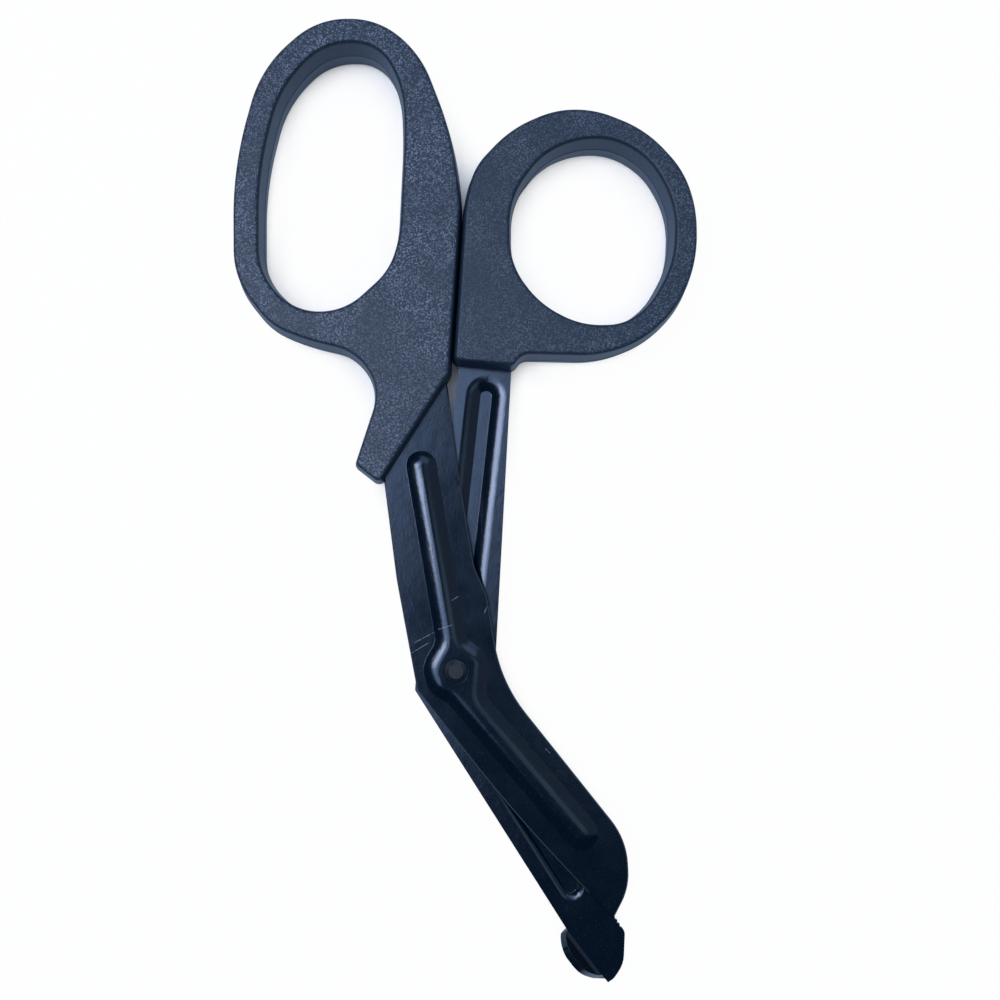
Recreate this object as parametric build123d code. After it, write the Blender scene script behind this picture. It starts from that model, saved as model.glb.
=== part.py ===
from build123d import *
from math import atan2, cos, degrees, hypot, radians, sin, tan
import os

# Bandage scissors, closed, lying flat. Lengths are in millimetres and angles in degrees.
# The shape is drawn with the pivot at the origin and is moved at the end, so that the
# origin of the finished part is the bottom centre of its box. +Z is the side with the
# rivet's head, and the handles lie towards +Y.

# Handles
handle_thickness = 10.0
handle_draft = 5.5
handle_edge_radius = 0.75
handle_corner_radius = 1.35
handle_gap = 0.04
tang_cover = 2.0
closing_line_angle = 86.0
closing_line_offset = -4.95

# Blades
sheet_thickness = 1.4
blade_gap = 0.05
edge_chamfer = 0.25
long_side_radius = 40.0
tang_corner_radius = 1.5

# Ribs and bosses pressed into the blades
rib_height = 1.0
rib_run = 1.9
rib_crown_radius = 4.2
shank_rib_width = 6.0
boss_radius = 6.3
boss_blend_radius = 2.5

# Upper blade, in front
upper_shank_angle = 99.6
upper_shank_left = 7.5
upper_shank_right = 6.9
upper_shank_end = 44.0
upper_shank_rib_end = 43.6
upper_pivot_left = 8.5
upper_pivot_right = 8.4
upper_pivot_zone = 13.5
upper_pivot_blend = 6.0
upper_blade_angle = -49.4
upper_blade_length = 57.1
upper_edge_offset = 8.3
upper_edge_bow = 0.7
upper_heel = -2.0
upper_spine_offset = 5.45
upper_spine_taper = 2.0
upper_nose_length = 10.1
upper_nose_bulge = 2.6
upper_nose_shoulder = 1.9
upper_tip_radius = 0.6
upper_elbow_radius = 30.0
upper_blade_rib_width = 6.6
upper_blade_rib_offset = 2.1
upper_blade_rib_margin = 13.6
upper_tang_start = 62.0
upper_tang_end = 78.0
upper_tang_width = 6.0
upper_tang_swell = 0.7

# Notch in the right edge of the upper shank
notch_place = 36.0
notch_depth = 0.5
notch_width = 1.6

# Lower blade, behind
lower_shank_angle = 83.7
lower_shank_left = 6.0
lower_shank_right = 4.4
lower_shank_end = 59.5
lower_shank_rib_end = 57.3
lower_pivot_left = 7.9
lower_pivot_right = 7.7
lower_blade_angle = -57.6
lower_blade_length = 68.2
lower_heel = -0.9
lower_spine_offset = 9.0
lower_edge_lead = 0.4
lower_nose_length = 6.6
lower_nose_bulge = 1.4
lower_nose_shoulder = 3.2
lower_blade_rib_width = 4.0
lower_blade_rib_height = 0.7
lower_blade_rib_run = 0.9
lower_blade_rib_crown = 1.4
lower_blade_rib_offset = 3.85
lower_blade_rib_start = 9.0
lower_blade_rib_margin = 17.6
lower_tang_start = 67.0
lower_tang_end = 77.0
lower_tang_width = 4.4

# Ground and serrated edge of the lower blade
edge_bevel_width = 1.2
edge_bevel_depth = 0.9
tooth_pitch = 0.9
tooth_depth = 0.3
teeth_start = 18.0
teeth_stop_short = 1.0

# Blunt foot, bent up from the spine of the lower blade
foot_length = 13.0
foot_bend_angle = 65.0
foot_bend_radius = 0.8
foot_reach = 2.65
foot_skew = 5.5
foot_overlap = 0.5

# Rivet
rivet_radius = 1.6
rivet_running_clearance = 0.05
rivet_head_radius = 2.2
rivet_head_top_radius = 1.43
rivet_head_height = 0.7
rivet_bevel_height = 0.4
rivet_seat_clearance = 0.25
rivet_seat_depth = 0.25
rivet_tail_radius = 2.4
rivet_tail_height = 0.55
rivet_end_play = 0.02

# Levels that follow from the sizes above
parting_level = handle_thickness / 2
lower_sheet_top = parting_level - blade_gap / 2
lower_sheet_bottom = lower_sheet_top - sheet_thickness
upper_sheet_bottom = parting_level + blade_gap / 2
upper_sheet_top = upper_sheet_bottom + sheet_thickness
upper_crown_level = upper_sheet_top + rib_height
lower_crown_level = lower_sheet_bottom - rib_height


def beside(angle, ahead, right):
    """The point that lies ahead of the pivot along an angle, and to the right of that line."""
    turn = radians(angle)
    return (ahead * cos(turn) + right * sin(turn), ahead * sin(turn) - right * cos(turn))


def meeting(first, first_angle, second, second_angle):
    """The point where two lines meet, each given by a point and an angle."""
    ax, ay = cos(radians(first_angle)), sin(radians(first_angle))
    bx, by = cos(radians(second_angle)), sin(radians(second_angle))
    dx, dy = second[0] - first[0], second[1] - first[1]
    along = (dx * by - dy * bx) / (ax * by - ay * bx)
    return (first[0] + along * ax, first[1] + along * ay)


def on_closing_line(height, side):
    """The point of a handle's straight side at a height, half a gap to one side of the line."""
    across = height / tan(radians(closing_line_angle)) + closing_line_offset
    return (across + side * handle_gap / 2, height)


def heading(start, end):
    """The unit vector from one point to another."""
    length = hypot(end[0] - start[0], end[1] - start[1])
    return ((end[0] - start[0]) / length, (end[1] - start[1]) / length)


def with_radii(corners, share=0.49):
    """Corners with a radius each, from corners that are (x, y) or (x, y, radius).

    No radius is more than a share of the shorter run beside the corner allows, and a
    corner that gives none gets that largest one.
    """
    count = len(corners)
    finished = []
    for i, corner in enumerate(corners):
        before, after = corners[i - 1], corners[(i + 1) % count]
        came, goes = heading(before, corner), heading(corner, after)
        half_turn = abs(atan2(came[0] * goes[1] - came[1] * goes[0],
                              came[0] * goes[0] + came[1] * goes[1])) / 2
        run = min(hypot(corner[0] - before[0], corner[1] - before[1]),
                  hypot(after[0] - corner[0], after[1] - corner[1]))
        largest = share * run / tan(max(half_turn, 0.001))
        wanted = corner[2] if len(corner) > 2 else largest
        finished.append((corner[0], corner[1], min(wanted, largest)))
    return finished


def inset(corners, distance):
    """The corners of the parallel outline inside a counter-clockwise one."""
    count = len(corners)
    moved = []
    for i, (x, y, radius) in enumerate(corners):
        came, goes = heading(corners[i - 1], (x, y)), heading((x, y), corners[(i + 1) % count])
        reach = distance / (1 + came[0] * goes[0] + came[1] * goes[1])
        left_turn = came[0] * goes[1] - came[1] * goes[0] > 0
        moved.append((x - (came[1] + goes[1]) * reach, y + (came[0] + goes[0]) * reach,
                      radius - distance if left_turn else radius + distance))
    return moved


def outline(corners):
    """The closed wire round the corners, each rounded by its radius."""
    points = [(x, y) for x, y, radius in corners]
    return FilletPolyline(*points, radius=[radius for x, y, radius in corners], close=True).wire()


def tapered(corners, height, run):
    """A prism from level 0 to a height, whose outline draws in by a run on the way up."""
    top = Pos(0, 0, height) * outline(inset(corners, run))
    return Solid.make_loft([outline(corners), top], ruled=True)


def plate(corners, bottom, thickness):
    """A flat sheet with a rounded outline."""
    return Pos(0, 0, bottom) * extrude(make_face(outline(corners)), amount=thickness)


def flipped(shape, level):
    """The mirror image of a shape across a level."""
    return mirror(shape, Plane.XY.offset(level))


def moulded(outside, hole):
    """A moulded ring, widest at its parting level, with its face edges rounded.

    The outside is drawn at the parting level, and the hole at the faces.
    """
    half = handle_thickness / 2
    draw = half * tan(radians(handle_draft))
    outside, hole = with_radii(outside), with_radii(hole)
    upper = Pos(0, 0, half) * tapered(outside, half, draw) - flipped(tapered(hole, half, draw), half)
    face = upper.faces().sort_by(Axis.Z)[-1]
    upper = fillet(face.edges(), handle_edge_radius)
    return upper + flipped(upper, half)


def finger_handle_shape():
    """The long loop for the fingers, with the web over the tang and the pointed spur."""
    outside = [
        (*on_closing_line(57.7, -1), 2.0), (*on_closing_line(90.2, -1), 20.0), (0.35, 99.1),
        (-1.5, 106.9), (-6.45, 119.65), (-14.9, 126.6), (-26.9, 126.65), (-38.05, 116.95),
        (-43.45, 97.6), (-43.35, 75.8), (-35.9, 66.5), (-29.0, 63.75), (-19.6, 61.6),
        (-15.1, 54.7), (-19.95, 40.0, handle_corner_radius), (-14.8, 36.0, handle_corner_radius),
    ]
    hole = [
        (-38.15, 96.8), (-38.15, 77.0), (-31.2, 69.65), (-21.6, 69.65), (-12.9, 77.55), (-10.75, 84.2),
        (-9.75, 103.9), (-10.25, 113.3), (-15.0, 121.5), (-25.5, 121.6), (-33.95, 112.9),
    ]
    return moulded(outside, hole)


def thumb_handle_shape():
    """The rounder loop for the thumb, with the short collar where its tang goes in."""
    outside = [
        (*on_closing_line(59.9, 1), handle_corner_radius), (11.3, 58.75, handle_corner_radius),
        (13.0, 61.05, 3.0), (28.0, 60.7),
        (36.4, 63.7), (43.5, 70.4), (47.0, 79.7), (46.9, 89.6), (44.3, 97.2), (37.0, 105.1),
        (26.9, 109.1), (19.2, 109.1), (10.3, 105.3), (3.0, 97.6), (*on_closing_line(90.4, 1), 12.0),
    ]
    hole = [
        (10.3, 79.0), (16.2, 71.0), (24.4, 66.95), (32.5, 67.15), (37.5, 70.8), (42.1, 79.0),
        (42.5, 90.2), (37.6, 99.0), (30.65, 103.1), (23.3, 103.05), (16.7, 100.1), (10.35, 91.8),
    ]
    return moulded(outside, hole)


def boss_tangent(angle):
    """The line that touches the boss at an angle about the pivot, as a point and an angle."""
    return beside(angle, boss_radius, 0), angle + 90


def boss_and_shank_rib(shank_angle, rib_end, blade_side):
    """The outline of a pivot boss with the shank's rib running up from it.

    The blade side gives the corners between the boss's last tangent on the left and its
    first on the right, going round below the pivot.
    """
    half = shank_rib_width / 2
    left, right = (beside(shank_angle, 0, -half), shank_angle), (beside(shank_angle, 0, half), shank_angle)
    upper_left, upper_right = boss_tangent(shank_angle + 50), boss_tangent(shank_angle - 45)
    left_joint = (*meeting(*left, *upper_left), boss_blend_radius)
    right_joint = (*meeting(*upper_right, *right), boss_blend_radius)
    return [beside(shank_angle, rib_end, half), beside(shank_angle, rib_end, -half), left_joint,
            *blade_side(upper_left, upper_right), right_joint]


def round_boss(shank_angle):
    """Corners that carry the boss round below the pivot, for a rib that ends there."""
    def corners(first, last):
        tangents = [first] + [boss_tangent(shank_angle + turn) for turn in (110, 180, 250)] + [last]
        return [(*meeting(*a, *b), boss_radius) for a, b in zip(tangents, tangents[1:])]
    return corners


def boss_to_blade_rib(first, last):
    """Corners that lead from the boss round the upper blade's long rib and back."""
    rib_end = upper_blade_length - upper_blade_rib_margin
    right = upper_blade_rib_offset + upper_blade_rib_width / 2
    left = upper_blade_rib_offset - upper_blade_rib_width / 2
    right_line = (beside(upper_blade_angle, 0, right), upper_blade_angle)
    left_line = (beside(upper_blade_angle, 0, left), upper_blade_angle)
    below, back, before = boss_tangent(200), boss_tangent(245), boss_tangent(-5)
    return [
        (*meeting(*first, *below), boss_radius), (*meeting(*below, *back), boss_radius),
        (*meeting(*back, *right_line), boss_blend_radius),
        beside(upper_blade_angle, rib_end, right),
        beside(upper_blade_angle, rib_end, left),
        (*meeting(*left_line, *before), boss_blend_radius), (*meeting(*before, *last), boss_radius),
    ]


def at_level(shape, level):
    """The edges of a shape that lie flat at a level."""
    return [edge for edge in shape.edges()
            if abs(edge.bounding_box().min.Z - level) < 0.001
            and abs(edge.bounding_box().max.Z - level) < 0.001]


def pressed(sheet, corners, height, run, crown_radius):
    """A sheet on level 0 with a rib pressed up out of it, hollow beneath.

    The crown and the shoulders of the hollow are bent round, and the creases are sharp.
    """
    corners = with_radii(corners)
    rib = tapered(corners, height, run)
    rib = fillet(at_level(rib, height), crown_radius)
    rim = {edge_key(edge) for edge in at_level(sheet, 0)}
    hollowed = sheet + Pos(0, 0, sheet_thickness) * rib - tapered(corners, height, run)
    shoulders = [edge for edge in at_level(hollowed, 0) if edge_key(edge) not in rim]
    return fillet(shoulders, crown_radius)


def edge_key(edge):
    """An edge's middle and length, to tell it apart from others."""
    middle = edge.center()
    return (round(middle.X, 3), round(middle.Y, 3), round(edge.length, 3))


def tang_side(height, side, across):
    """A point in a tang, at a distance from the closing line on one side of it."""
    x, y = on_closing_line(height, side)
    return (x + side * across, y)


def upper_blade_corners():
    """The flat outline of the upper blade with its tang, counter-clockwise."""
    shank, blade = upper_shank_angle, upper_blade_angle
    cover, far = tang_cover, tang_cover + upper_tang_width
    nose = upper_blade_length - upper_nose_length
    middle = (upper_blade_length + upper_heel) / 2
    spine = (beside(blade, 0, -upper_spine_offset), blade - upper_spine_taper)
    shank_side = (beside(shank, 0, upper_pivot_right), shank)
    nose_start = meeting(*spine, beside(blade, nose, 0), blade - 90)
    half_notch = notch_width / 2
    return [
        (*tang_side(upper_tang_end, -1, cover), tang_corner_radius),
        (*tang_side(upper_tang_end, -1, far), tang_corner_radius),
        (*beside(shank, upper_shank_end, -upper_shank_left), 5.0),
        (*beside(shank, upper_pivot_zone + upper_pivot_blend, -upper_pivot_left), long_side_radius),
        (*beside(blade, upper_heel, upper_edge_offset), 0.8),
        beside(blade, middle, upper_edge_offset + 2 * upper_edge_bow),
        (*beside(blade, upper_blade_length, upper_edge_offset), upper_tip_radius),
        beside(blade, upper_blade_length - upper_nose_bulge, upper_nose_shoulder),
        nose_start,
        (*meeting(*spine, *shank_side), upper_elbow_radius),
        (*beside(shank, upper_pivot_zone, upper_pivot_right), upper_pivot_blend),
        (*beside(shank, upper_pivot_zone + upper_pivot_blend, upper_shank_right), upper_pivot_blend),
        (*beside(shank, notch_place - half_notch, upper_shank_right), 0.0),
        (*beside(shank, notch_place, upper_shank_right - notch_depth), 0.0),
        (*beside(shank, notch_place + half_notch, upper_shank_right), 0.0),
        (*beside(shank, (upper_shank_end + upper_tang_start) / 2, upper_shank_right + upper_tang_swell), 8.0),
        (*tang_side(upper_tang_start, -1, cover), 4.0),
    ]


def upper_blade_shape():
    """The front blade: one pressed sheet from tang to nose, bored for the rivet."""
    sheet = plate(with_radii(upper_blade_corners()), 0, sheet_thickness)
    turn = radians(upper_blade_angle)
    edge = [line for line in at_level(sheet, sheet_thickness)
            if line.center().X * sin(turn) - line.center().Y * cos(turn) > upper_edge_offset
            and line.length > 1]
    sheet = chamfer(edge, edge_chamfer)
    ribs = boss_and_shank_rib(upper_shank_angle, upper_shank_rib_end, boss_to_blade_rib)
    blade = Pos(0, 0, upper_sheet_bottom) * pressed(sheet, ribs, rib_height, rib_run, rib_crown_radius)
    bore = Cylinder(rivet_radius + rivet_running_clearance, 3 * handle_thickness)
    seat_floor = upper_crown_level - rivet_seat_depth
    seat = Pos(0, 0, seat_floor) * Cylinder(
        rivet_head_radius + rivet_seat_clearance, handle_thickness,
        align=(Align.CENTER, Align.CENTER, Align.MIN))
    return blade - bore - seat


def teeth(start, end):
    """The points of the serrated edge of the lower blade, from its far end back."""
    count = int((end - start) / tooth_pitch)
    points = []
    for i in range(count):
        tip = end - i * tooth_pitch
        points.append((*beside(lower_blade_angle, tip, -lower_edge_lead), 0.0))
        points.append((*beside(lower_blade_angle, tip - tooth_pitch / 2, tooth_depth - lower_edge_lead), 0.0))
    return points


def lower_blade_corners():
    """The flat outline of the lower blade with its tang, counter-clockwise."""
    shank, blade = lower_shank_angle, lower_blade_angle
    cover, far = tang_cover, tang_cover + lower_tang_width
    foot_start = lower_blade_length - foot_length
    foot_rise = foot_length * tan(radians(foot_skew))
    teeth_end = lower_blade_length - lower_nose_length - teeth_stop_short
    right_top = beside(shank, lower_shank_end, lower_shank_right)
    right_low = beside(shank, 0, lower_pivot_right)
    lean = degrees(atan2(right_top[1] - right_low[1], right_top[0] - right_low[0]))
    heel = meeting(right_low, lean, beside(blade, 0, -lower_edge_lead), blade)
    return [
        (*tang_side(lower_tang_end, 1, far), tang_corner_radius),
        (*tang_side(lower_tang_end, 1, cover), tang_corner_radius),
        (*tang_side(lower_tang_start, 1, cover), 4.0),
        (*beside(shank, lower_shank_end + 1.5, -lower_shank_left), 1.5),
        (*beside(shank, 2 * lower_shank_end / 3, -lower_shank_left), long_side_radius),
        (*beside(shank, lower_pivot_left - 3, -lower_pivot_left), 12.0),
        (*beside(blade, lower_heel, lower_spine_offset), 0.8),
        (*beside(blade, foot_start, lower_spine_offset), 0.0),
        (*beside(blade, lower_blade_length, lower_spine_offset - foot_rise), 0.0),
        (*beside(blade, lower_blade_length, 2 * lower_nose_shoulder), 4.0),
        beside(blade, lower_blade_length - lower_nose_bulge, lower_nose_shoulder),
        beside(blade, lower_blade_length - lower_nose_length, -lower_edge_lead),
        *teeth(teeth_start, teeth_end),
        (*heel, 4.0),
        (*right_top, 0.5),
        (*tang_side(lower_tang_start, 1, far), 3.0),
    ]


def foot_shape():
    """The blunt foot that is bent up from the spine, in place on the lower blade.

    It is a bent strip along the bend line, trimmed to a rounded outline on its flange.
    In its own frame X runs back from the blade's end, Y out from the spine and Z up.
    """
    turn = radians(foot_bend_angle)
    inner, outer = foot_bend_radius, foot_bend_radius + sheet_thickness
    reach = 2 * foot_reach
    length = foot_length / cos(radians(foot_skew))

    def bent(radius, angle, beyond):
        """A point of the section on a radius about the bend's centre, and on along the flange."""
        return (radius * sin(angle) + beyond * cos(angle), inner - radius * cos(angle) + beyond * sin(angle))

    section = Curve() + [
        Line((-foot_overlap, inner - outer), bent(outer, 0, 0)),
        ThreePointArc(bent(outer, 0, 0), bent(outer, turn / 2, 0), bent(outer, turn, 0)),
        Polyline(bent(outer, turn, 0), bent(outer, turn, reach), bent(inner, turn, reach), bent(inner, turn, 0)),
        ThreePointArc(bent(inner, turn, 0), bent(inner, turn / 2, 0), bent(inner, 0, 0)),
        Polyline(bent(inner, 0, 0), (-foot_overlap, 0), (-foot_overlap, inner - outer)),
    ]
    strip = extrude(Plane.YZ * make_face(section), amount=length)
    trim = with_radii([
        (-1, -2 * outer, 0), (length + 1, -2 * outer, 0), (length + 1, -0.5 * outer, 0),
        (length, -0.4 * outer, 0.3), (0.93 * length, 0.4 * foot_reach), (0.8 * length, foot_reach),
        (0.45 * length, foot_reach), (0.22 * length, 0.1 * foot_reach), (0.08 * length, -0.7 * outer),
        (-1, -1.2 * outer, 0),
    ])
    flange = Plane(origin=(0, 0, inner), x_dir=(1, 0, 0), z_dir=(0, -sin(turn), cos(turn)))
    kept = flange * extrude(make_face(outline(trim)), amount=3 * outer, both=True)
    end = beside(lower_blade_angle, lower_blade_length,
                 lower_spine_offset - foot_length * tan(radians(foot_skew)))
    back = beside(lower_blade_angle + foot_skew + 180, 1, 0)
    return Plane(origin=(*end, lower_sheet_top), x_dir=(*back, 0), z_dir=(0, 0, 1)) * (strip & kept)


def edge_bevel_cut():
    """The wedge ground off the back of the lower blade's cutting edge, for a sheet on level 0."""
    slope = edge_bevel_depth / edge_bevel_width
    inner_side, outer_side = edge_bevel_width - lower_edge_lead, -lower_edge_lead - 1
    section = Polyline((inner_side, sheet_thickness), (inner_side, 2 * sheet_thickness),
                       (outer_side, 2 * sheet_thickness),
                       (outer_side, sheet_thickness - slope * (inner_side - outer_side)), close=True)
    length = lower_blade_length - lower_nose_length - teeth_start
    across = Plane(origin=(*beside(lower_blade_angle, teeth_start, 0), 0),
                   x_dir=(*beside(lower_blade_angle - 90, 1, 0), 0),
                   z_dir=(*beside(lower_blade_angle + 180, 1, 0), 0))
    return across * extrude(make_face(section), amount=-length)


def lower_blade_shape():
    """The rear blade: a pressed sheet with a serrated edge and a blunt foot."""
    sheet = plate(with_radii(lower_blade_corners()), 0, sheet_thickness) - edge_bevel_cut()
    ribs = boss_and_shank_rib(lower_shank_angle, lower_shank_rib_end, round_boss(lower_shank_angle))
    ribbed = pressed(sheet, ribs, rib_height, rib_run, rib_crown_radius)
    right = lower_blade_rib_offset + lower_blade_rib_width / 2
    left = lower_blade_rib_offset - lower_blade_rib_width / 2
    rib_end = lower_blade_length - lower_blade_rib_margin
    slot = [beside(lower_blade_angle, ahead, side) for ahead, side in (
        (lower_blade_rib_start, left), (lower_blade_rib_start, right), (rib_end, right), (rib_end, left))]
    ribbed = pressed(ribbed, slot, lower_blade_rib_height, lower_blade_rib_run, lower_blade_rib_crown)
    blade = Pos(0, 0, lower_sheet_top) * flipped(ribbed, 0)
    return blade + foot_shape() - Cylinder(rivet_radius, 3 * handle_thickness)


def rivet_shape():
    """The rivet: a bevelled head in the upper blade's seat, a shank, and a peened tail."""
    head_bottom = upper_crown_level - rivet_seat_depth + rivet_end_play
    head_top = upper_crown_level + rivet_head_height
    tail_bottom = lower_crown_level - rivet_tail_height
    profile = Polyline(
        (0, tail_bottom), (rivet_radius, tail_bottom), (rivet_tail_radius, lower_crown_level),
        (rivet_radius, lower_crown_level), (rivet_radius, head_bottom), (rivet_head_radius, head_bottom),
        (rivet_head_radius, head_top - rivet_bevel_height), (rivet_head_top_radius, head_top),
        (0, head_top), close=True)
    return revolve(Plane.XZ * make_face(profile), Axis.Z)


def main():
    """Build the five pieces, set the origin at the bottom centre of their box, and write them."""
    upper_blade, lower_blade = upper_blade_shape(), lower_blade_shape()
    pieces = {
        "finger_handle": finger_handle_shape() - upper_blade,
        "thumb_handle": thumb_handle_shape() - lower_blade,
        "upper_blade": upper_blade,
        "lower_blade": lower_blade,
        "pivot_rivet": rivet_shape(),
    }
    boxes = [piece.bounding_box() for piece in pieces.values()]
    low = Vector(*(min(getattr(box.min, axis) for box in boxes) for axis in "XYZ"))
    high = Vector(*(max(getattr(box.max, axis) for box in boxes) for axis in "XYZ"))
    pivot = Vector(-(low.X + high.X) / 2, -(low.Y + high.Y) / 2, -low.Z)
    os.makedirs("parts", exist_ok=True)
    for name, piece in pieces.items():
        export_step(Pos(pivot) * piece, "parts/" + name + ".step")
    print("pivot moved to", pivot)
    print("overall size", high - low)


main()
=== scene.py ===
"""Bandage scissors: the looks of their solid parts, and the studio they are seen in.

Blender's units are metres. Sizes in the property groups are real sizes, and places on the
scissors are given in millimetres from the rivet's axis.
"""

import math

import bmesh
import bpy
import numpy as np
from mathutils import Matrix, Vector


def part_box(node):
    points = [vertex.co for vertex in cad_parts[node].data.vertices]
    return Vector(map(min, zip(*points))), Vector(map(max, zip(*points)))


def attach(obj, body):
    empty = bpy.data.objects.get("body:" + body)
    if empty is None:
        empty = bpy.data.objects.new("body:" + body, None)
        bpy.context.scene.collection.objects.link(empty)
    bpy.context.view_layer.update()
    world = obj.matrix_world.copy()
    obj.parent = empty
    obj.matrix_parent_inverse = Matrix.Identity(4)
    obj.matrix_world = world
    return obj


bl_info = {
    "name": "Bandage Scissors",
    "version": (1, 0, 0),
    "blender": (4, 5, 0),
    "location": "View3D > Sidebar > Scissors",
    "description": "Dresses the bandage scissors and sets up their studio",
    "category": "Object",
}

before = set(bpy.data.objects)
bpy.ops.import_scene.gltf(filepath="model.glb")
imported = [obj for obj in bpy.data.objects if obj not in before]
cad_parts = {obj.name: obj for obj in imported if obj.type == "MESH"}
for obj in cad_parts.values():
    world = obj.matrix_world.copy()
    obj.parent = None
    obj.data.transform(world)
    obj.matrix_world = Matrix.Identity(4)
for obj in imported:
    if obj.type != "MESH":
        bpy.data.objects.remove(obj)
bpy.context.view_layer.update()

MM = 0.001
RIVET_LOW, RIVET_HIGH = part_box("pivot_rivet")
PIVOT = ((RIVET_LOW + RIVET_HIGH) / 2).to_2d()
HALF_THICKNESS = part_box("finger_handle")[1].z / 2

# The body that each handle moves with, and how brightly painted glints show on its grain: the
# finger handle's grain is painted brighter than the thumb handle's.
HANDLES = {"finger_handle": ("upper_half", 0.85), "thumb_handle": ("lower_half", 0.4)}

# Scratches in the upper blade's coating, each by its two ends in millimetres from the rivet.
SCRATCHES = [
    ((-8.2, 5.4), (-4.3, 7.5)), ((-8.6, 3.5), (-5.4, 5.4)), ((-3.4, 8.1), (-0.8, 9.0)),
    ((-0.7, 13.8), (0.4, 14.5)), ((17.6, -15.4), (18.4, -16.1)), ((5.6, 11.3), (6.0, 12.4)),
]

# The camera looks straight down at this point of the floor, in millimetres from the rivet. Its
# sensor's width is in millimetres, and its frame is shifted by these shares of the frame's
# width, to the right and up.
CAMERA_FOOT = (-0.19, 25.57)
SENSOR_WIDTH = 36
FRAME_SHIFT = (0.045, 0.040)


def linear(hex_colour):
    """A linear RGBA colour from an sRGB hex value, by the sRGB transfer curve."""
    channels = [int(hex_colour[i:i + 2], 16) / 255 for i in (1, 3, 5)]
    return (*(c / 12.92 if c <= 0.04045 else ((c + 0.055) / 1.055) ** 2.4 for c in channels), 1.0)


def from_rivet(x, y, z):
    """A point in metres, from millimetres beside the rivet's axis and above the floor."""
    return Vector((PIVOT.x + x * MM, PIVOT.y + y * MM, z * MM))


def add(tree, kind, links=None, **settings):
    """A new node, with its settings, and its inputs set to values or linked to sockets."""
    made = tree.nodes.new(kind)
    for name, value in settings.items():
        setattr(made, name, value)
    for name, value in (links or {}).items():
        if isinstance(value, bpy.types.NodeSocket):
            tree.links.new(value, made.inputs[name])
        else:
            made.inputs[name].default_value = value
    return made


def new_material(name):
    """An empty node material with its output, as (material, tree, output)."""
    material = bpy.data.materials.new(name)
    material.use_nodes = True
    material.node_tree.nodes.clear()
    return material, material.node_tree, add(material.node_tree, "ShaderNodeOutputMaterial")


def grid_mesh(name, points, closed_u=False, closed_v=False):
    """A mesh object from an (n, m, 3) array of points, one quad for each cell of the grid.

    Cell (i, j) joins points (i, j), (i+1, j), (i+1, j+1) and (i, j+1); a closed direction
    joins its last row to its first.
    """
    rows, columns = points.shape[:2]
    i = np.arange(rows if closed_u else rows - 1)
    j = np.arange(columns if closed_v else columns - 1)
    i, j = (a.ravel() for a in np.meshgrid(i, j, indexing="ij"))
    after_i, after_j = (i + 1) % rows, (j + 1) % columns
    quads = np.stack([i * columns + j, after_i * columns + j,
                      after_i * columns + after_j, i * columns + after_j], axis=1)
    mesh = bpy.data.meshes.new(name)
    mesh.from_pydata(points.reshape(-1, 3).tolist(), [], quads.tolist())
    mesh.polygons.foreach_set("use_smooth", np.ones(len(quads), bool))
    made = bpy.data.objects.new(name, mesh)
    bpy.context.scene.collection.objects.link(made)
    return made


def colour_setting(name, description, hex_colour):
    """A colour that can be changed, from its sRGB hex value."""
    return bpy.props.FloatVectorProperty(
        name=name, description=description, subtype="COLOR", size=4, min=0, max=1,
        default=linear(hex_colour))


def length_setting(name, description, millimetres):
    """A length that can be changed, from its real size in millimetres."""
    return bpy.props.FloatProperty(
        name=name, description=description, subtype="DISTANCE", min=0.001 * MM, default=millimetres * MM)


def brightness_setting(name, description, brightness):
    """A brightness that can be changed, where 1 is white."""
    return bpy.props.FloatProperty(name=name, description=description, min=0, default=brightness)


class HandleLook(bpy.types.PropertyGroup):
    """The moulded handles: their plastic, its grain and its parting line."""

    plastic: colour_setting("Plastic", "Colour of the moulded plastic", "#16283b")
    # Painted reflection: the walls are given a bluer colour than the faces.
    wall: colour_setting("Polished walls", "Colour of the walls, where the mould is polished", "#213851")
    # The colour of the painted glints that show on the grain's peaks.
    painted_glint: colour_setting("Rubbed plastic", "Colour where hands have rubbed the grain paler", "#93a2ba")
    grain: length_setting("Grain", "Spacing of the spark-eroded grain in the mould", 0.30)
    grain_depth: length_setting("Grain depth", "Depth of that grain", 0.06)
    line_height: length_setting("Parting line", "How far the mould's parting line stands proud", 0.06)


class BladeLook(bpy.types.PropertyGroup):
    """The coated blades and the rivet."""

    coating: colour_setting("Coating", "Colour of the black coating", "#02101e")
    # This colour serves both the scratches and the painted glints of the coating.
    sheen: colour_setting("Sheen", "Blue cast of what the coating mirrors", "#d5e6ff")
    scuff_and_glint: colour_setting("Scuff", "Colour of scratches in the coating", "#8390a4")
    orange_peel: length_setting("Orange peel", "Width of a wave in the coating's uneven surface", 2.4)
    peel_depth: length_setting("Orange peel depth", "Depth of those waves", 0.02)
    dust: length_setting("Spray grain", "Width of a grain of the dry spray in the coating", 0.4)
    dust_depth: length_setting("Spray grain depth", "Height of those grains", 0.012)
    edge_radius: length_setting("Edge radius", "Radius that the coating leaves on sharp edges", 0.12)
    rivet: colour_setting("Rivet", "Colour of the coat on the rivet", "#070e18")
    rivet_worn: colour_setting("Rubbed rivet", "Colour where that coat is rubbed thin", "#16212f")


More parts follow.
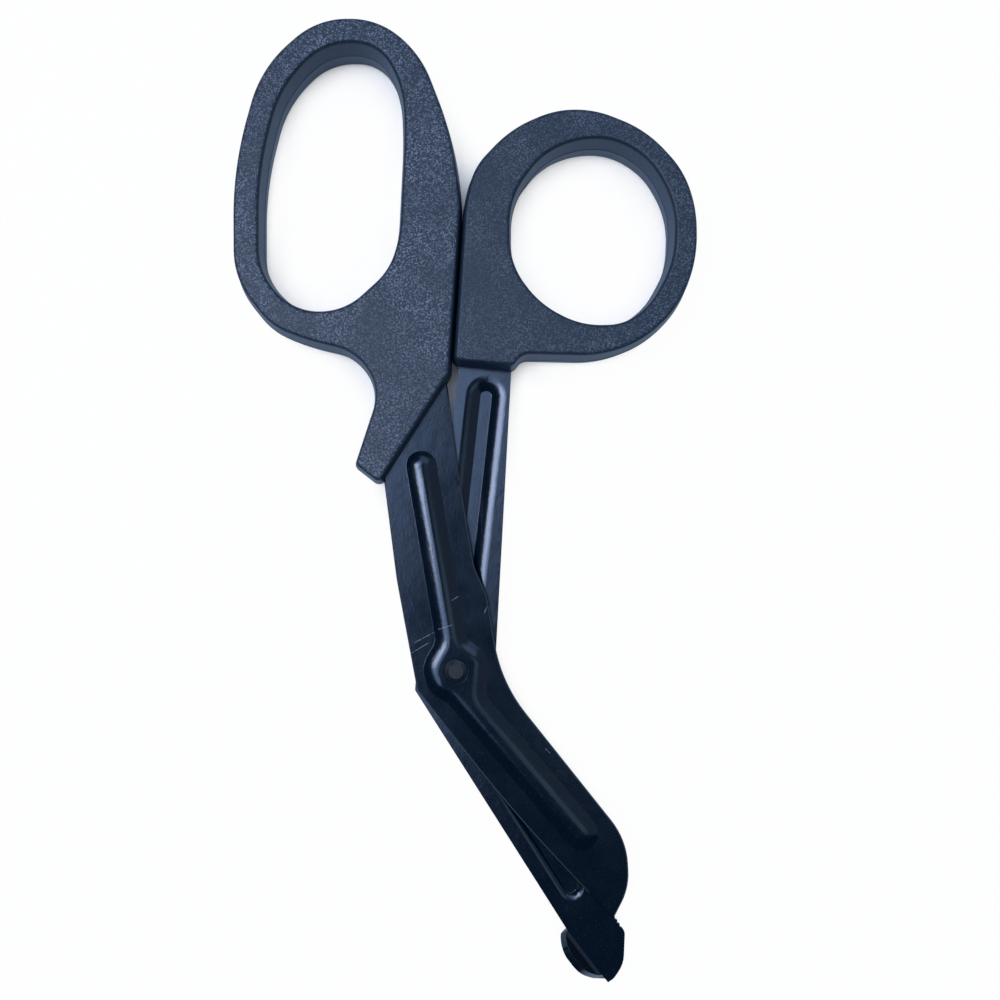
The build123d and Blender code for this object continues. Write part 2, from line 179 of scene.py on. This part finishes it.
class StudioLook(bpy.types.PropertyGroup):
    """The camera, the lamps and the floor."""

    camera_height: length_setting("Camera height", "Height of the camera above the floor", 210)
    lens: bpy.props.FloatProperty(
        name="Lens", description="Focal length on a 36 mm sensor", unit="CAMERA", min=1, default=37.4)
    sky: brightness_setting("Sky", "Brightness of the broad cool sky at the left and above", 3.6)
    sky_colour: colour_setting("Sky colour", "Colour of that sky", "#c8deff")
    window: brightness_setting("Window", "Brightness of the small bright window at the left", 11.0)
    window_colour: colour_setting("Window colour", "Colour of that window", "#f2f2ff")
    wall: brightness_setting("Wall", "Brightness of the dim walls at the right and lower left", 0.36)
    wall_colour: colour_setting("Wall colour", "Colour of those walls", "#dbe7ee")
    door_colour: colour_setting("Door colour", "Colour of the brighter door at the right", "#cfe2ea")
    room: brightness_setting("Room", "Brightness of the dark room overhead", 0.05)
    room_colour: colour_setting("Room colour", "Colour of that room", "#c8d0dc")
    paper: colour_setting("Paper", "Colour of the paper where it lies in shadow", "#f0f4fa")
    mirrored_paper: colour_setting("Mirrored paper", "Colour of the paper in reflections", "#c8e0ff")


def moulded_polypropylene(name, look, sparkle):
    """Injection-moulded polypropylene, black with a slate-blue cast.

    The mould's faces are spark-eroded, which leaves a fine even grain that scatters light
    softly. Its widest grains are drawn one by one, and some of them are painted paler as
    painted glints, stronger in patches and the more so the larger the sparkle; what is finer
    shows as roughness. The walls are polished in the mould, so that the handle comes out of it:
    they have hardly any grain, and their bluer colour is a painted reflection.
    """
    patch_width = 8 * MM
    grain_starts, grain_is_full = HALF_THICKNESS - 0.15 * MM, HALF_THICKNESS - 0.03 * MM
    wall_ends, face_starts = HALF_THICKNESS - 1.3 * MM, HALF_THICKNESS - 0.6 * MM
    material, tree, output = new_material(name)
    place = add(tree, "ShaderNodeTexCoord").outputs["Object"]
    height = add(tree, "ShaderNodeSeparateXYZ", {0: place}).outputs["Z"]
    off_middle = add(tree, "ShaderNodeMath", {0: height, 1: HALF_THICKNESS}, operation="SUBTRACT")
    off_middle = add(tree, "ShaderNodeMath", {0: off_middle.outputs[0]}, operation="ABSOLUTE")
    on_face = add(tree, "ShaderNodeMapRange", {
        "Value": off_middle.outputs[0], "From Min": grain_starts, "From Max": grain_is_full,
        "To Min": 0.1, "To Max": 1.0})
    grain = add(tree, "ShaderNodeTexVoronoi", {"Vector": place, "Scale": 1 / look.grain})
    chance = add(tree, "ShaderNodeSeparateColor", {0: grain.outputs["Color"]}).outputs["Red"]
    glint = add(tree, "ShaderNodeMapRange", {"Value": chance, "From Min": 0.2})
    peaks = add(tree, "ShaderNodeMapRange", {
        "Value": grain.outputs["Distance"], "From Min": 0.7, "From Max": 0.3, "To Max": 1.0})
    peaks = add(tree, "ShaderNodeMath", {
        0: peaks.outputs["Result"], 1: glint.outputs["Result"]}, operation="MULTIPLY")
    patches = add(tree, "ShaderNodeTexNoise", {"Vector": place, "Scale": 1 / patch_width, "Detail": 4.0})
    # Painted glints: stronger in patches, and the more so the larger the handle's sparkle.
    paler_share = add(tree, "ShaderNodeMapRange", {
        "Value": patches.outputs["Fac"], "From Min": 0.35, "From Max": 0.65,
        "To Min": 0.45 * sparkle, "To Max": sparkle})
    painted_glints = add(tree, "ShaderNodeMath", {
        0: peaks.outputs[0], 1: paler_share.outputs["Result"]}, operation="MULTIPLY")
    painted_glints = add(tree, "ShaderNodeMath", {
        0: painted_glints.outputs[0], 1: on_face.outputs["Result"]}, operation="MULTIPLY")
    grain_height = add(tree, "ShaderNodeMath", {
        0: peaks.outputs[0], 1: on_face.outputs["Result"]}, operation="MULTIPLY")
    bump = add(tree, "ShaderNodeBump", {"Height": grain_height.outputs[0], "Distance": look.grain_depth})
    # Painted reflection: towards the walls the colour turns to the bluer wall colour.
    off_wall = add(tree, "ShaderNodeMapRange", {
        "Value": off_middle.outputs[0], "From Min": wall_ends, "From Max": face_starts})
    plastic_with_painted_walls = add(tree, "ShaderNodeMix", {
        "Factor": off_wall.outputs["Result"], "A": look.wall, "B": look.plastic}, data_type="RGBA")
    # The painted glints turn the grain's peaks paler.
    colour = add(tree, "ShaderNodeMix", {
        "Factor": painted_glints.outputs[0], "A": plastic_with_painted_walls.outputs["Result"], "B": look.painted_glint}, data_type="RGBA")
    shader = add(tree, "ShaderNodeBsdfPrincipled", {
        "Base Color": colour.outputs["Result"], "Roughness": 0.48, "IOR": 1.40,
        "Normal": bump.outputs["Normal"]})
    tree.links.new(shader.outputs["BSDF"], output.inputs["Surface"])
    return material


def scratch(tree, place, start, end, reach=0.09):
    """How much of a scratch covers a place: 0.8 on its line, and 0 at its reach and beyond.

    The line runs between two points in millimetres from the rivet, the reach is in millimetres
    too, and the distance to the line is |p - a - t (b - a)|, where t is
    (p - a) . (b - a) / |b - a| squared, kept from 0 to 1.
    """
    level = Vector((1, 1, 0))
    first, last = (from_rivet(*point, 0) for point in (start, end))
    run = last - first
    flat = add(tree, "ShaderNodeVectorMath", {0: place, 1: level}, operation="MULTIPLY")
    offset = add(tree, "ShaderNodeVectorMath", {0: flat.outputs[0], 1: first}, operation="SUBTRACT")
    share = add(tree, "ShaderNodeVectorMath", {
        0: offset.outputs[0], 1: run / run.length_squared}, operation="DOT_PRODUCT")
    share = add(tree, "ShaderNodeClamp", {"Value": share.outputs["Value"]})
    along = add(tree, "ShaderNodeVectorMath", {0: run, "Scale": share.outputs[0]}, operation="SCALE")
    beside = add(tree, "ShaderNodeVectorMath", {
        0: offset.outputs[0], 1: along.outputs[0]}, operation="SUBTRACT")
    distance = add(tree, "ShaderNodeVectorMath", {0: beside.outputs[0]}, operation="LENGTH")
    return add(tree, "ShaderNodeMapRange", {
        "Value": distance.outputs["Value"], "From Min": reach * MM, "From Max": reach * MM / 2,
        "To Max": 0.8}).outputs["Result"]


def black_coated_steel(name, look, lean, scratches):
    """Pressed stainless sheet under a satin black non-stick coating.

    The coating is sprayed and baked, so it is near black, half glossy and a little uneven,
    like orange peel and with grains of dry spray, and it is rounded over the sheet's sharp
    edges. Small paler specks on it are painted glints. Blades are set by hand, so a sheet
    mirrors the room as if it leant to the left by its lean, in degrees. Its scratches are
    broken up by the grain of the coating.
    """
    mottle_width = 6 * MM
    material, tree, output = new_material(name)
    place = add(tree, "ShaderNodeTexCoord").outputs["Object"]
    peel = add(tree, "ShaderNodeTexNoise", {"Vector": place, "Scale": 1 / look.orange_peel, "Detail": 1.0})
    dust = add(tree, "ShaderNodeTexNoise", {"Vector": place, "Scale": 1 / look.dust, "Detail": 2.0})
    mottle = add(tree, "ShaderNodeTexNoise", {"Vector": place, "Scale": 1 / mottle_width, "Detail": 4.0})
    roughness = add(tree, "ShaderNodeMapRange", {
        "Value": mottle.outputs["Fac"], "From Min": 0.3, "From Max": 0.7, "To Min": 0.15, "To Max": 0.21})
    across = add(tree, "ShaderNodeSeparateXYZ", {0: place}).outputs["X"]
    slope = add(tree, "ShaderNodeMath", {0: across, 1: math.tan(math.radians(lean))}, operation="MULTIPLY")
    edge = add(tree, "ShaderNodeBevel", {"Radius": look.edge_radius}, samples=4)
    set_sheet = add(tree, "ShaderNodeBump", {
        "Height": slope.outputs[0], "Distance": 1.0, "Normal": edge.outputs["Normal"]})
    waves = add(tree, "ShaderNodeBump", {
        "Height": peel.outputs["Fac"], "Distance": look.peel_depth, "Normal": set_sheet.outputs["Normal"]})
    bump = add(tree, "ShaderNodeBump", {
        "Height": dust.outputs["Fac"], "Distance": look.dust_depth, "Normal": waves.outputs["Normal"]})
    # Painted glints: small paler specks where the spray grain stands highest.
    painted_glint_specks = add(tree, "ShaderNodeMapRange", {
        "Value": dust.outputs["Fac"], "From Min": 0.60, "From Max": 0.80, "To Max": 0.05})
    broken = add(tree, "ShaderNodeMapRange", {
        "Value": dust.outputs["Fac"], "From Min": 0.42, "From Max": 0.50, "To Min": 0.15})
    # The scratches and the painted glints turn the coating towards the scuff colour.
    paler_share = painted_glint_specks.outputs["Result"]
    for start, end in scratches:
        mark = add(tree, "ShaderNodeMath", {
            0: broken.outputs["Result"], 1: scratch(tree, place, start, end)}, operation="MULTIPLY")
        paler_share = add(tree, "ShaderNodeMath", {0: paler_share, 1: mark.outputs[0]}, operation="MAXIMUM").outputs[0]
    colour = add(tree, "ShaderNodeMix", {
        "Factor": paler_share, "A": look.coating, "B": look.scuff_and_glint}, data_type="RGBA")
    shader = add(tree, "ShaderNodeBsdfPrincipled", {
        "Base Color": colour.outputs["Result"], "Roughness": roughness.outputs["Result"], "IOR": 1.55,
        "Specular Tint": look.sheen, "Normal": bump.outputs["Normal"]})
    tree.links.new(shader.outputs["BSDF"], output.inputs["Surface"])
    return material


def rubbed_rivet_steel(look):
    """The rivet's steel under a thin black coat, rubbed in fine marks and duller than the blades."""
    mark_width, mark_depth = 0.5 * MM, 0.01 * MM
    material, tree, output = new_material("rubbed_rivet_steel")
    place = add(tree, "ShaderNodeTexCoord").outputs["Object"]
    marks = add(tree, "ShaderNodeTexNoise", {"Vector": place, "Scale": 1 / mark_width, "Detail": 3.0})
    colour = add(tree, "ShaderNodeMix", {
        "Factor": marks.outputs["Fac"], "A": look.rivet, "B": look.rivet_worn}, data_type="RGBA")
    bump = add(tree, "ShaderNodeBump", {"Height": marks.outputs["Fac"], "Distance": mark_depth})
    shader = add(tree, "ShaderNodeBsdfPrincipled", {
        "Base Color": colour.outputs["Result"], "Roughness": 0.32, "IOR": 1.45,
        "Normal": bump.outputs["Normal"]})
    tree.links.new(shader.outputs["BSDF"], output.inputs["Surface"])
    return material


def white_studio_paper(look):
    """A matt white paper sweep, plain white to the camera, and cool where something mirrors it.

    Close to the part, where less than half of the sky is open to the paper, it turns to matt
    paper under the lamps, so that the part's soft shadow lies on it.
    """
    shadow_reach = 25 * MM
    material, tree, output = new_material("white_studio_paper")
    path = add(tree, "ShaderNodeLightPath")
    seen = add(tree, "ShaderNodeMath", {
        0: path.outputs["Is Camera Ray"], 1: path.outputs["Is Glossy Ray"]}, operation="MAXIMUM")
    seen = add(tree, "ShaderNodeMath", {
        0: seen.outputs[0], 1: path.outputs["Is Transmission Ray"]}, operation="MAXIMUM")
    open_sky = add(tree, "ShaderNodeAmbientOcclusion", {"Distance": shadow_reach}, samples=8)
    in_the_open = add(tree, "ShaderNodeMapRange", {
        "Value": open_sky.outputs["AO"], "From Min": 0.2, "From Max": 0.5, "To Max": 0.97})
    share = add(tree, "ShaderNodeMath", {
        0: seen.outputs[0], 1: in_the_open.outputs["Result"]}, operation="MULTIPLY")
    paper = add(tree, "ShaderNodeBsdfDiffuse", {"Color": look.paper})
    tone = add(tree, "ShaderNodeMix", {
        "Factor": path.outputs["Is Camera Ray"], "A": look.mirrored_paper, "B": linear("#ffffff")},
        data_type="RGBA")
    white = add(tree, "ShaderNodeEmission", {"Color": tone.outputs["Result"], "Strength": 1.0})
    mix = add(tree, "ShaderNodeMixShader", {
        "Fac": share.outputs[0], 1: paper.outputs["BSDF"], 2: white.outputs["Emission"]})
    tree.links.new(mix.outputs["Shader"], output.inputs["Surface"])
    return material


def dress(node, material):
    """Gives a CAD node one material all over."""
    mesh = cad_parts[node].data
    mesh.materials.clear()
    mesh.materials.append(material)


def parting_outlines(node):
    """The closed lines of a handle at the level where its mould parts, as evenly spaced points.

    They are the mesh's own edges at half thickness, joined end to end. The outer line comes
    first, because the search starts at the leftmost point. A chain of few points is no line.
    """
    spacing, few_points, level_tolerance = 0.4 * MM, 20, 0.001 * MM
    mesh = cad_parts[node].data
    points = np.empty(len(mesh.vertices) * 3)
    mesh.vertices.foreach_get("co", points)
    points = points.reshape(-1, 3)
    edges = np.empty(len(mesh.edges) * 2, int)
    mesh.edges.foreach_get("vertices", edges)
    edges = edges.reshape(-1, 2)
    level = np.abs(points[:, 2] - HALF_THICKNESS) < level_tolerance
    beside = {}
    for edge in edges[level[edges].all(axis=1)]:
        ends = [tuple(np.round(points[i, :2] / MM, 3)) for i in edge]
        if ends[0] != ends[1]:
            beside.setdefault(ends[0], set()).add(ends[1])
            beside.setdefault(ends[1], set()).add(ends[0])
    outlines = []
    while beside:
        line = [min(beside)]
        while line[-1] in beside:
            ahead = [point for point in beside.pop(line[-1]) if point in beside]
            if ahead:
                line.append(min(ahead, key=lambda point: math.dist(point, line[-1])))
        if len(line) > few_points:
            closed = np.array(line + line[:1]) * MM
            run = np.concatenate([[0], np.cumsum(np.hypot(*np.diff(closed, axis=0).T))])
            even = np.arange(0, run[-1] - spacing / 2, spacing)
            outlines.append(np.stack([np.interp(even, run, closed[:, axis]) for axis in (0, 1)], axis=1))
    return outlines


def parting_bead(name, outline, neighbour, look):
    """A fine bead of plastic along a line where the mould parts.

    Round the line at angle a its surface is h cos(a) out from the wall and h sin(a) up. The
    height h is whole where the neighbouring handle is at least twice the clear distance away,
    and it falls from there to its least share at the clear distance.
    """
    clear, least_share, sides = 0.5 * MM, 0.05, 8
    ahead = np.roll(outline, -1, axis=0) - np.roll(outline, 1, axis=0)
    out = np.stack([ahead[:, 1], -ahead[:, 0]], axis=1) / np.hypot(*ahead.T)[:, None]
    room = np.hypot(*(outline[:, None] - neighbour[None]).transpose(2, 0, 1)).min(axis=1)
    height = look.line_height * np.clip(room / clear - 1, least_share, 1)
    angle = np.linspace(0, 2 * np.pi, sides + 1)[:-1]
    sideways = outline[:, None] + out[:, None] * (height[:, None] * np.cos(angle))[:, :, None]
    up = HALF_THICKNESS + height[:, None] * np.sin(angle)
    return grid_mesh(name, np.concatenate([sideways, up[:, :, None]], axis=2), closed_u=True, closed_v=True)


class SCISSORS_OT_handles(bpy.types.Operator):
    """Finish the two moulded handles"""

    bl_idname = "scissors.handles"
    bl_label = "Handles"

    def execute(self, context):
        look = context.scene.scissors_handles
        lines = {node: parting_outlines(node) for node in HANDLES}
        for node, (body, sparkle) in HANDLES.items():
            material = moulded_polypropylene("moulded_polypropylene_" + node, look, sparkle)
            dress(node, material)
            others = np.concatenate([line for other in HANDLES if other != node for line in lines[other]])
            for place, outline in zip(("outer", "inner"), lines[node]):
                bead = parting_bead(node + "_parting_line_" + place, outline, others, look)
                bead.data.materials.append(material)
                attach(bead, body)
        return {"FINISHED"}


class SCISSORS_OT_blades(bpy.types.Operator):
    """Finish the two coated blades and the rivet"""

    bl_idname = "scissors.blades"
    bl_label = "Blades and rivet"

    def execute(self, context):
        look = context.scene.scissors_blades
        dress("upper_blade", black_coated_steel(
            "black_coated_steel_upper_blade", look, lean=0.0, scratches=SCRATCHES))
        dress("lower_blade", black_coated_steel(
            "black_coated_steel_lower_blade", look, lean=3.0, scratches=[]))
        dress("pivot_rivet", rubbed_rivet_steel(look))
        return {"FINISHED"}


def paper_sweep():
    """A round sheet of white paper under the part, whose rim curls up a little all round.

    It is a surface of revolution: flat from the radius of its middle out to its floor radius,
    then a quarter circle up. One small face closes the middle.
    """
    middle_radius, floor_radius, curl_radius = 0.002, 1.4, 0.1
    turn = np.linspace(0, 2 * np.pi, 97)[:-1]
    flat = np.linspace(middle_radius, floor_radius, 12)
    curl = np.linspace(0, np.pi / 2, 25)[1:]
    out = np.concatenate([flat, floor_radius + curl_radius * np.sin(curl)])
    up = np.concatenate([np.zeros(len(flat)), curl_radius * (1 - np.cos(curl))])
    points = np.stack([np.outer(out, np.cos(turn)), np.outer(out, np.sin(turn)),
                       np.repeat(up[:, None], len(turn), axis=1)], axis=2)
    sweep = grid_mesh("paper_sweep", points, closed_v=True)
    middle = bmesh.new()
    middle.from_mesh(sweep.data)
    middle.verts.ensure_lookup_table()
    bmesh.ops.contextual_create(middle, geom=middle.verts[:len(turn)])
    middle.to_mesh(sweep.data)
    middle.free()
    return sweep


def overhead(across, along, height):
    """The place at a height above the floor that lies at two angles off the vertical.

    The height is in metres, and the angles are in degrees, to the right and towards the
    handles, from the point below the camera.
    """
    foot = from_rivet(*CAMERA_FOOT, 0)
    return foot + Vector((math.tan(math.radians(across)), math.tan(math.radians(along)), 1)) * height


def soft_box(name, size, brightness, colour):
    """A rectangular soft box of a size in metres and a brightness, where 1 is white.

    A lamp's power is pi times its area times its brightness.
    """
    lamp = bpy.data.lights.new(name, "AREA")
    lamp.shape = "RECTANGLE"
    lamp.size, lamp.size_y = size
    lamp.energy = math.pi * size[0] * size[1] * brightness
    lamp.color = colour[:3]
    made = bpy.data.objects.new(name, lamp)
    bpy.context.scene.collection.objects.link(made)
    return made


def facing_box(name, place, size, brightness, colour):
    """A soft box at a place, turned to the floor below the camera."""
    box = soft_box(name, size, brightness, colour)
    box.location = place
    box.rotation_euler = (from_rivet(*CAMERA_FOOT, 0) - place).to_track_quat("-Z", "Y").to_euler()


def level_box(name, near_edge, heading, height, size, brightness, colour):
    """A level soft box whose near edge lies at an angle off the vertical, along a heading.

    Both are in degrees, from the point below the camera. A heading of 0 is to the right, and
    one of 90 is towards the handles.
    """
    box = soft_box(name, size, brightness, colour)
    turn = math.radians(heading)
    out = height * math.tan(math.radians(near_edge)) + size[0] / 2
    box.location = from_rivet(*CAMERA_FOOT, 0) + Vector((out * math.cos(turn), out * math.sin(turn), height))
    box.rotation_euler = (0, 0, turn)


def light_the_studio(look):
    """A cool sky at the left and above, a small window at the left, and a dim room around.

    The near edge of the sky at the left shows as the straight end of the upper shank's sheen.
    """
    level_box("left_sky", near_edge=3.9, heading=163, height=1.2, size=(0.55, 1.1),
              brightness=look.sky, colour=look.sky_colour)
    facing_box("upper_sky", overhead(across=14, along=37, height=0.9), size=(0.9, 0.6),
               brightness=0.4 * look.sky, colour=look.sky_colour)
    facing_box("left_window", overhead(across=-26, along=7, height=0.75), size=(0.30, 0.32),
               brightness=look.window, colour=look.window_colour)
    facing_box("right_wall", overhead(across=56, along=12, height=0.4), size=(0.8, 1.3),
               brightness=look.wall, colour=look.wall_colour)
    facing_box("right_door", overhead(across=17, along=-6, height=0.9), size=(0.36, 0.3),
               brightness=2.4 * look.wall, colour=look.door_colour)
    lower_left = from_rivet(*CAMERA_FOOT, 0) + Vector((-0.50, -0.33, 0.15))
    facing_box("lower_wall", lower_left, size=(0.5, 0.22), brightness=look.wall, colour=look.wall_colour)
    dim_room(look)


def dim_room(look):
    """A room that is white where the camera sees it and dim where it lights the part."""
    world = bpy.data.worlds.new("studio_room")
    world.use_nodes = True
    tree = world.node_tree
    tree.nodes.clear()
    path = add(tree, "ShaderNodeLightPath")
    room = add(tree, "ShaderNodeBackground", {"Color": look.room_colour, "Strength": look.room})
    white = add(tree, "ShaderNodeBackground", {"Color": linear("#ffffff"), "Strength": 1.0})
    mix = add(tree, "ShaderNodeMixShader", {
        "Fac": path.outputs["Is Camera Ray"], 1: room.outputs["Background"], 2: white.outputs["Background"]})
    output = add(tree, "ShaderNodeOutputWorld")
    tree.links.new(mix.outputs["Shader"], output.inputs["Surface"])
    bpy.context.scene.world = world


def camera_overhead(look):
    """The photograph's camera: it looks straight down, and its frame is shifted a little."""
    camera = bpy.data.cameras.new("photo_camera")
    camera.sensor_width = SENSOR_WIDTH
    camera.lens = look.lens
    camera.shift_x, camera.shift_y = FRAME_SHIFT
    made = bpy.data.objects.new("photo_camera", camera)
    made.location = from_rivet(*CAMERA_FOOT, look.camera_height / MM)
    bpy.context.scene.collection.objects.link(made)
    bpy.context.scene.camera = made


class SCISSORS_OT_studio(bpy.types.Operator):
    """Set up the paper sweep, the lamps, the room and the photograph's camera"""

    bl_idname = "scissors.studio"
    bl_label = "Studio"

    def execute(self, context):
        look = context.scene.scissors_studio
        sweep = paper_sweep()
        sweep.data.materials.append(white_studio_paper(look))
        light_the_studio(look)
        camera_overhead(look)
        context.scene.view_settings.view_transform = "Standard"
        return {"FINISHED"}


class SCISSORS_PT_panel(bpy.types.Panel):
    """The scissors' pieces and their settings"""

    bl_label = "Bandage Scissors"
    bl_idname = "SCISSORS_PT_panel"
    bl_space_type = "VIEW_3D"
    bl_region_type = "UI"
    bl_category = "Scissors"

    def draw(self, context):
        for group, operator in (("scissors_handles", "scissors.handles"),
                                ("scissors_blades", "scissors.blades"),
                                ("scissors_studio", "scissors.studio")):
            look = getattr(context.scene, group)
            section = self.layout.box()
            for name in look.__annotations__:
                section.prop(look, name)
            section.operator(operator)


GROUPS = {"scissors_handles": HandleLook, "scissors_blades": BladeLook, "scissors_studio": StudioLook}
CLASSES = (HandleLook, BladeLook, StudioLook, SCISSORS_OT_handles, SCISSORS_OT_blades,
           SCISSORS_OT_studio, SCISSORS_PT_panel)


def register():
    for made in CLASSES:
        bpy.utils.register_class(made)
    for name, group in GROUPS.items():
        setattr(bpy.types.Scene, name, bpy.props.PointerProperty(type=group))


def unregister():
    for name in GROUPS:
        delattr(bpy.types.Scene, name)
    for made in reversed(CLASSES):
        bpy.utils.unregister_class(made)


def main():
    """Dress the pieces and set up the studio."""
    register()
    bpy.ops.scissors.handles()
    bpy.ops.scissors.blades()
    bpy.ops.scissors.studio()


if __name__ == "__main__":
    main()
